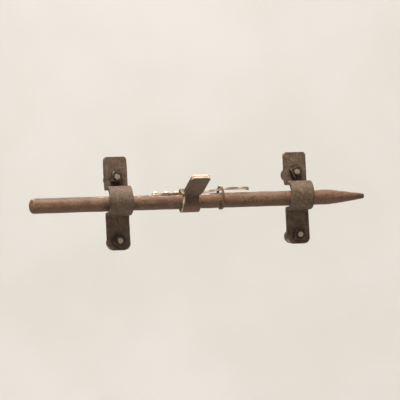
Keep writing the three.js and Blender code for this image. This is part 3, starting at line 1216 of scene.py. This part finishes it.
@dataclass
class SpringLeaf:
    """The spring leaf along the top of the bar, with three rivets and the band that holds it down.

    Attributes:
        thickness: The leaf's thickness.
        crest_start: Where the rise ends.
        tail: Length of the turned-down end.
        tail_drop: How far that end turns down.
        fixed_corner: Radius of the riveted end's corners.
        free_corner: Radius of the free end's corners.
        rivet_height: Height of a rivet's dome.
        rivet_shank: Radius of a rivet's shank.
        rivet_foot: Height of the chamfer at its foot.
        band_strap: Thickness of the band.
        row: Length of one row of faces.
    """

    thickness: float = 2.1 * MM
    crest_start: float = 28 * MM
    tail: float = 5 * MM
    tail_drop: float = 1.4 * MM
    fixed_corner: float = 2.6 * MM
    free_corner: float = 3.4 * MM
    rivet_height: float = 2.4 * MM
    rivet_shank: float = 1.6 * MM
    rivet_foot: float = 0.3 * MM
    band_strap: float = 1.6 * MM
    row: float = 0.9 * MM

    def __post_init__(self) -> None:
        """Takes the leaf's ends and heights from the CAD boxes."""
        self.low, self.high = corners("spring_leaf")
        self.lift = self.high.z - self.low.z - self.thickness
        self.rise_start = middle_of_hinge().x + EYE_WIDTH / 2 + CLEARANCE

    def underside(self, x: float) -> float:
        """Height of the leaf's underside: level, then a rise, then a turned-down end.

        Args:
            x: A place along the bar.

        Returns:
            The height.
        """
        if x <= self.rise_start:
            return self.low.z
        if x <= self.crest_start:
            share = (x - self.rise_start) / (self.crest_start - self.rise_start)
            return self.low.z + self.lift * math.sin(share * math.pi / 2)
        tail = max(0.0, (x - (self.high.x - self.tail)) / self.tail)
        return self.low.z + self.lift - self.tail_drop * tail * tail

    def first_clear(self, height: float) -> float:
        """Where the leaf's underside first rises past a height.

        Args:
            height: The height.

        Returns:
            The place along the bar.
        """
        x = self.rise_start
        while self.underside(x) < height:
            x += 0.5 * MM
        return x

    def build(self) -> None:
        """Makes the leaf, the rivets and the band."""
        self.draw_leaf()
        for number in (1, 2, 3):
            self.set_rivet(number)
        self.weld_band()

    def draw_leaf(self) -> None:
        """Draws the leaf out from its riveted end, along its bowed line."""
        forge = Forge()
        low, high = self.low, self.high
        length = high.x - low.x
        edges = forge.line(low, Vector((low.x, high.y, low.z)), 9)
        forge.run(edges, ACROSS * length, round(length / self.row))
        for vert in forge.bm.verts:
            vert.co.z = self.underside(vert.co.x)
        forge.thicken(self.thickness, lambda point: UP)
        half, centre = (high.y - low.y) / 2, (high.y + low.y) / 2
        for vert in forge.bm.verts:
            reach = reach_near_end(half, self.fixed_corner, vert.co.x - low.x)
            reach *= reach_near_end(half, self.free_corner, high.x - vert.co.x) / half
            vert.co.y = centre + (vert.co.y - centre) * reach / half
            vert.co.x = min(high.x, max(low.x, vert.co.x))
            vert.co.z = min(high.z, vert.co.z)
        forge.round_edges(0.5 * MM)
        forge.hammer(0.14 * MM, 6 * MM, 6.1)
        forge.finish("spring_leaf_strip", Body.BAR, "spring_leaf", LEAF_FINISH, self.rubbing_and_highlight)

    def rubbing_and_highlight(self, point: Vector, normal: Vector) -> float:
        """The top of the leaf is rubbed bright, most of all on its raised crest.

        Args:
            point: A point of the surface.
            normal: The direction out of the surface there.

        Returns:
            The extra wear.
        """
        crest = smoothstep(self.rise_start, self.rise_start + 14 * MM, point.x)
        if normal.z < 0.5:
            return (0.4 + 0.25 * crest) * (normal.z > -0.4)
        patch = noise.noise(Vector((point.x * 90, point.y * 260, 4.0)))
        return 0.12 + 0.42 * crest + 0.3 * patch

    def set_rivet(self, number: int) -> None:
        """Sets a rivet: a hammered dome on the leaf and a peened foot under the bar.

        Args:
            number: Which rivet, from the tail on.
        """
        node = f"leaf_rivet_{number}"
        low, high = corners(node)
        head, shank, foot = (high.x - low.x) / 2, self.rivet_shank, self.rivet_foot
        seat = high.z - low.z - self.rivet_height
        profile = [(0.0, 0.0), (shank * 0.9, 0.0)]
        profile += [(shank, foot + (seat - foot) * i / 10) for i in range(11)]
        profile += [(head * share, seat) for share in (0.7, 0.94)]
        rim = 0.12 * MM
        for turn in quarter(12):
            rise = (self.rivet_height - rim) * math.sin(turn) ** 0.85
            profile.append((head * math.cos(turn), seat + rim + rise))
        foot_end = (low + high) / 2
        foot_end.z = low.z
        forge = Forge()
        forge.turn(profile, foot_end, UP, 36)
        forge.hammer(0.42 * MM, 2.4 * MM, 2.2 + number * 3.7)
        forge.finish(
            f"leaf_rivet_{number}_domed", Body.BAR, node, LEAF_FINISH,
            # the dome's upward face is lighter: worn metal and a painted highlight from the light above
            lambda point, normal: 0.75 * smoothstep(0.2, 0.9, normal.z),
        )

    def weld_band(self) -> None:
        """Bends the band round bar and leaf, with its lapped and hammered ends on top."""
        low, high = corners("leaf_band")
        centre = (low + high) / 2
        inner = (high.z - low.z) / 2 - self.band_strap
        axis = Vector((0, centre.y, centre.z))
        forge = Forge()
        top = axis + UP * inner
        edges = forge.line(top + ACROSS * low.x, top + ACROSS * high.x, 5)
        forge.bend(edges, axis, 2 * math.pi, 96)

        def away(point: Vector) -> Vector:
            """The way out from the hoop's axis."""
            return Vector((0, point.y - centre.y, point.z - centre.z)).normalized()

        forge.thicken(self.band_strap * 0.82, away)
        forge.round_edges(0.45 * MM)
        for vert in forge.bm.verts:
            across, rise = vert.co.y - centre.y, vert.co.z - centre.z
            turn = math.atan2(-across, rise)
            lap = smoothstep(-0.42, -0.1, turn) * smoothstep(0.5, 0.36, turn)
            if math.hypot(across, rise) > inner + self.band_strap * 0.3:
                vert.co += away(vert.co) * (self.band_strap * 0.17 * lap)
            vert.co.x = centre.x + (vert.co.x - centre.x) * (0.82 + 0.17 * lap)
        forge.close()
        forge.hammer(0.1 * MM, 3 * MM, 4.4)
        forge.finish(
            "leaf_band_hoop", Body.BAR, "leaf_band", TOGGLE_FINISH,
            # the hoop's top is lighter: worn metal and a painted highlight from the light above
            lambda point, normal: 0.7 * smoothstep(0.75, 0.98, normal.z) * (point.z > 0),
        )


# ---------------------------------------------------------------- the toggle handle


@dataclass
class ToggleHandle:
    """The toggle: a strap folded round bar and leaf, with its two ends welded into a flat lever.

    Attributes:
        strap: Thickness of the eye.
        layer: Thickness of each of the lever's two layers.
        seam: Half the gap that is left between the layers.
        fillet: Radius with which each layer leaves the lever for the eye.
        length: Length of the lever beyond the eye.
        width: Width of the lever.
        waist: Width where the lever leaves the eye.
        neck: Length over which the waist widens.
        shoulder: Length over which the eye narrows to the waist.
        lean: The lever's lean towards the nose in degrees.
        raised: The lever's rise above level in degrees.
        corner: Radius of the lever's end corners.
        row: Length of one row of faces.
    """

    strap: float = 3.2 * MM
    layer: float = 2.02 * MM
    seam: float = 0.06 * MM
    fillet: float = 4.0 * MM
    length: float = 35 * MM
    width: float = 20 * MM
    waist: float = 15 * MM
    neck: float = 9 * MM
    shoulder: float = 4 * MM
    lean: float = 5
    raised: float = 26
    corner: float = 2.4 * MM
    row: float = 0.9 * MM

    def build(self) -> None:
        """Makes the toggle, lying in its own frame, and turns it into place."""
        self.measure()
        forge = Forge()
        self.fold_strap(forge)
        forge.thicken(self.layer, self.away)
        self.fill_eye(forge)
        self.shape_width(forge)
        forge.round_edges(0.7 * MM)
        forge.hammer(0.3 * MM, 8 * MM, 9.4)
        spun = Matrix.Rotation(math.pi - math.radians(self.raised), 4, "X")
        place = Matrix.Translation(self.hinge) @ spun
        bmesh.ops.transform(forge.bm, matrix=place, verts=forge.bm.verts[:])
        self.out, self.below = spun @ Vector((0, 1, 0)), spun @ UP
        name, node = "toggle_handle_iron", "toggle_handle"
        forge.finish(name, Body.TOGGLE, node, TOGGLE_FINISH, self.rubbing_and_highlight, self.soiling_and_shade)

    def measure(self) -> None:
        """Works out the eye from the hinge and the bar."""
        self.hinge = middle_of_hinge()
        low, high = corners("slide_bar")
        self.radius = (high.y - low.y) / 2 + CLEARANCE + self.hinge.z
        self.root = self.radius + self.strap / 2
        self.end = self.radius + self.strap + self.length

    def fold_strap(self, forge: Forge) -> None:
        """Folds the inner face: in along one layer, round the eye and out along the other.

        Args:
            forge: The piece.
        """
        half = ACROSS * (EYE_WIDTH / 2)
        tip = Vector((0, self.end, self.seam))
        edges = forge.line(tip - half, tip + half, round(EYE_WIDTH / self.row))
        offset = self.seam + self.fillet
        flare = math.sqrt((self.radius + self.fillet) ** 2 - offset**2)
        opening = math.atan2(offset, flare)
        turn = math.pi / 2 - opening
        inwards = Vector((0, flare - self.end, 0))
        rows = round((self.end - flare) / self.row)
        edges = forge.run(edges, inwards, rows)
        edges = forge.bend(edges, Vector((0, flare, offset)), -turn, 10)
        edges = forge.bend(edges, Vector(), 2 * (math.pi - opening), 76)
        edges = forge.bend(edges, Vector((0, flare, -offset)), -turn, 10)
        forge.run(edges, -inwards, rows)

    def away(self, point: Vector) -> Vector:
        """The way out of the strap's outer face: off the lever's mid-plane, or out from the hinge.

        Args:
            point: A point on the strap.

        Returns:
            The direction.
        """
        if point.y > self.root + self.fillet:
            return UP * math.copysign(1, point.z)
        return Vector((0, point.y, point.z)).normalized()

    def fill_eye(self, forge: Forge) -> None:
        """Thickens the eye to the full strap, away from the lever's root.

        Args:
            forge: The piece.
        """
        for vert in forge.bm.verts:
            reach = math.hypot(vert.co.y, vert.co.z)
            turn = abs(math.atan2(vert.co.z, vert.co.y))
            if vert.co.y < self.root and reach > self.radius + self.layer / 2:
                extra = (self.strap - self.layer) * smoothstep(0.5, 1.1, turn)
                vert.co += Vector((0, vert.co.y, vert.co.z)) / reach * extra

    def shape_width(self, forge: Forge) -> None:
        """Narrows the strap to the waist, widens it to the lever, leans it and rounds its end.

        Args:
            forge: The piece.
        """
        full = EYE_WIDTH / 2
        for vert in forge.bm.verts:
            run = vert.co.y - self.root
            half = (self.waist + (self.width - self.waist) * smoothstep(0, self.neck, run)) / 2
            half = reach_near_end(half, self.corner, self.end - vert.co.y)
            half += (full - half) * smoothstep(0.0, -self.shoulder, run)
            vert.co.x *= half / full
            vert.co.x += max(0.0, run) * math.tan(math.radians(self.lean))

    def rubbing_and_highlight(self, point: Vector, normal: Vector) -> float:
        """Fingers keep the lever's end bright; its end face is lighter as wear and a painted highlight, and
        the eye's left rim is lighter as rubbing on the rivets and a painted highlight.

        Args:
            point: A point of the surface.
            normal: The direction out of the surface there.

        Returns:
            The extra wear.
        """
        run = (point - self.hinge).dot(self.out)
        end = smoothstep(self.end - 7 * MM, self.end, run) * 0.3
        # end face: wear and a painted highlight
        face = 0.6 * smoothstep(0.6, 0.95, normal.dot(self.out)) * (run > self.end * 0.8)
        on_eye = run < self.root and point.y < self.hinge.y
        # eye's left rim: rubbing on the rivets and a painted highlight
        rim = 0.4 * smoothstep(0.4, 0.8, -normal.x) * on_eye
        return end + face + rim

    def soiling_and_shade(self, point: Vector, normal: Vector) -> float:
        """Painted shade on the underside of the lever and in the corners at its root.

        Args:
            point: A point of the surface.
            normal: The direction out of the surface there.

        Returns:
            The extra grime.
        """
        run = (point - self.hinge).dot(self.out)
        # painted shade on the lever's underside
        under = 0.4 * smoothstep(0.5, 0.95, normal.dot(self.below))
        # painted shade in a band round the lever's root
        root = 0.3 * smoothstep(5 * MM, 0.0, abs(run - self.root - 2 * MM))
        return (under + root) * (run > self.radius)


# ---------------------------------------------------------------- studio


@dataclass(frozen=True)
class Lamp:
    """A square soft light.

    Attributes:
        name: The lamp's name.
        place: Where it hangs.
        aim: The point it faces.
        size: Its side in metres.
        power: Its power in watts.
        tint: Its colour.
    """

    name: str
    place: tuple[float, float, float]
    aim: tuple[float, float, float]
    size: float
    power: float
    tint: tuple[float, float, float] = (1.0, 1.0, 1.0)

    def hang(self) -> None:
        """Puts the lamp in the scene."""
        lamp = bpy.data.lights.new(self.name, "AREA")
        lamp.size = self.size
        lamp.energy = self.power
        lamp.color = self.tint
        holder = show(self.name, lamp)
        holder.location = self.place
        towards = Vector(self.aim) - Vector(self.place)
        holder.rotation_euler = towards.to_track_quat("-Z", "Y").to_euler()


LAMPS = (
    Lamp("key_above", (-0.3, -0.55, 1.5), (0, 0, 0), 0.42, 48, (1.0, 0.96, 0.9)),
    Lamp("backdrop_light", (0.2, 1.5, 2.3), (0.5, 3.6, -0.3), 2.2, 48),
    Lamp("front_wall_light", (0.0, -1.8, 2.3), (0.0, -3.6, -0.3), 2.2, 18),
    Lamp("rear_fill", (0.9, 1.5, 0.7), (0, 0, 0), 0.9, 4, (1.0, 0.98, 0.96)),
    Lamp("overhead", (0.0, 0.3, 2.9), (0, 0.3, 0), 3.0, 34),
)


@dataclass
class Studio:
    """A pale floor and backdrop, soft light from above, and the camera.

    Attributes:
        azimuth: The camera's direction in degrees, where 0 looks along +Y.
        elevation: The camera's height above the latch in degrees.
        distance: From the camera to the latch.
        roll: Turn of the picture in degrees.
        lens: Focal length in millimetres.
        floor: Height of the floor.
        room: Radius of the backdrop.
        sweep: Radius of the curve from floor to backdrop.
        wall: Height of the backdrop above the floor.
        glow: Strength of the even light of the room.
    """

    azimuth: float = -15
    elevation: float = -4.4
    distance: float = 2.2
    roll: float = 3.0
    lens: float = 192
    floor: float = -0.9
    room: float = 3.6
    sweep: float = 1.1
    wall: float = 3.4
    glow: float = 0.15

    def build(self) -> None:
        """Makes the stage, the lights and the camera."""
        self.lay_floor()
        for lamp in LAMPS:
            lamp.hang()
        self.light_room()
        self.set_camera()

    def lay_floor(self) -> None:
        """A pale floor that sweeps up into a round backdrop on every side."""
        bench = NodeBench("studio_paper")
        soft = bench.band(bench.noise(3, 2), 0.3, 0.7)
        tone = bench.blend(soft, colour("d9d6d0"), colour("dfdcd7"))
        bench.link(tone, bench.shader.inputs["Base Color"])
        bench.shader.inputs["Roughness"].default_value = 0.9
        profile = [(0.0, 0.0), (0.5, 0.0), (1.5, 0.0)]
        for turn in quarter(14):
            reach = self.room - self.sweep + self.sweep * math.sin(turn)
            profile.append((reach, self.sweep * (1 - math.cos(turn))))
        profile.append((self.room, self.wall))
        forge = Forge()
        forge.turn(profile, UP * self.floor, UP, 96)
        bmesh.ops.reverse_faces(forge.bm, faces=forge.bm.faces[:])
        mesh = forge.mesh("studio_floor")
        mesh.materials.append(bench.material)
        show("studio_floor", mesh)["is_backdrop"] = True

    def light_room(self) -> None:
        """Gives the room its even, faintly warm light."""
        world = bpy.data.worlds.new("room")
        world.use_nodes = True
        sky = world.node_tree.nodes["Background"].inputs
        sky["Color"].default_value = (1.0, 0.98, 0.95, 1)
        sky["Strength"].default_value = self.glow
        bpy.context.scene.world = world

    def set_camera(self) -> None:
        """Aims the camera at the latch from its left and a little below."""
        low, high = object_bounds()
        target = (Vector(low) + Vector(high)) / 2
        turn, rise = math.radians(self.azimuth), math.radians(self.elevation)
        level = math.cos(rise)
        back = Vector((math.sin(turn) * level, -math.cos(turn) * level, math.sin(rise)))
        data = bpy.data.cameras.new("camera")
        data.lens = self.lens
        data.sensor_width = 36
        camera = show("camera", data)
        camera.location = target + back * self.distance
        camera.rotation_mode = "QUATERNION"
        rolled = Matrix.Rotation(math.radians(-self.roll), 4, "Z").to_quaternion()
        camera.rotation_quaternion = (-back).to_track_quat("-Z", "Y") @ rolled
        bpy.context.scene.camera = camera
        bpy.context.scene.view_settings.view_transform = "Standard"


def main() -> None:
    """Builds the studio and every piece of the latch."""
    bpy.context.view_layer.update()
    for finish in FINISHES:
        MATERIALS[finish.name] = finish.material()
    Studio().build()
    for part in (Keeper("left", 3.1), Keeper("right", 8.7), SlideBar(), SpringLeaf(), ToggleHandle()):
        part.build()
        LOG.info("%s done", type(part).__name__)


if __name__ == "__main__":
    main()
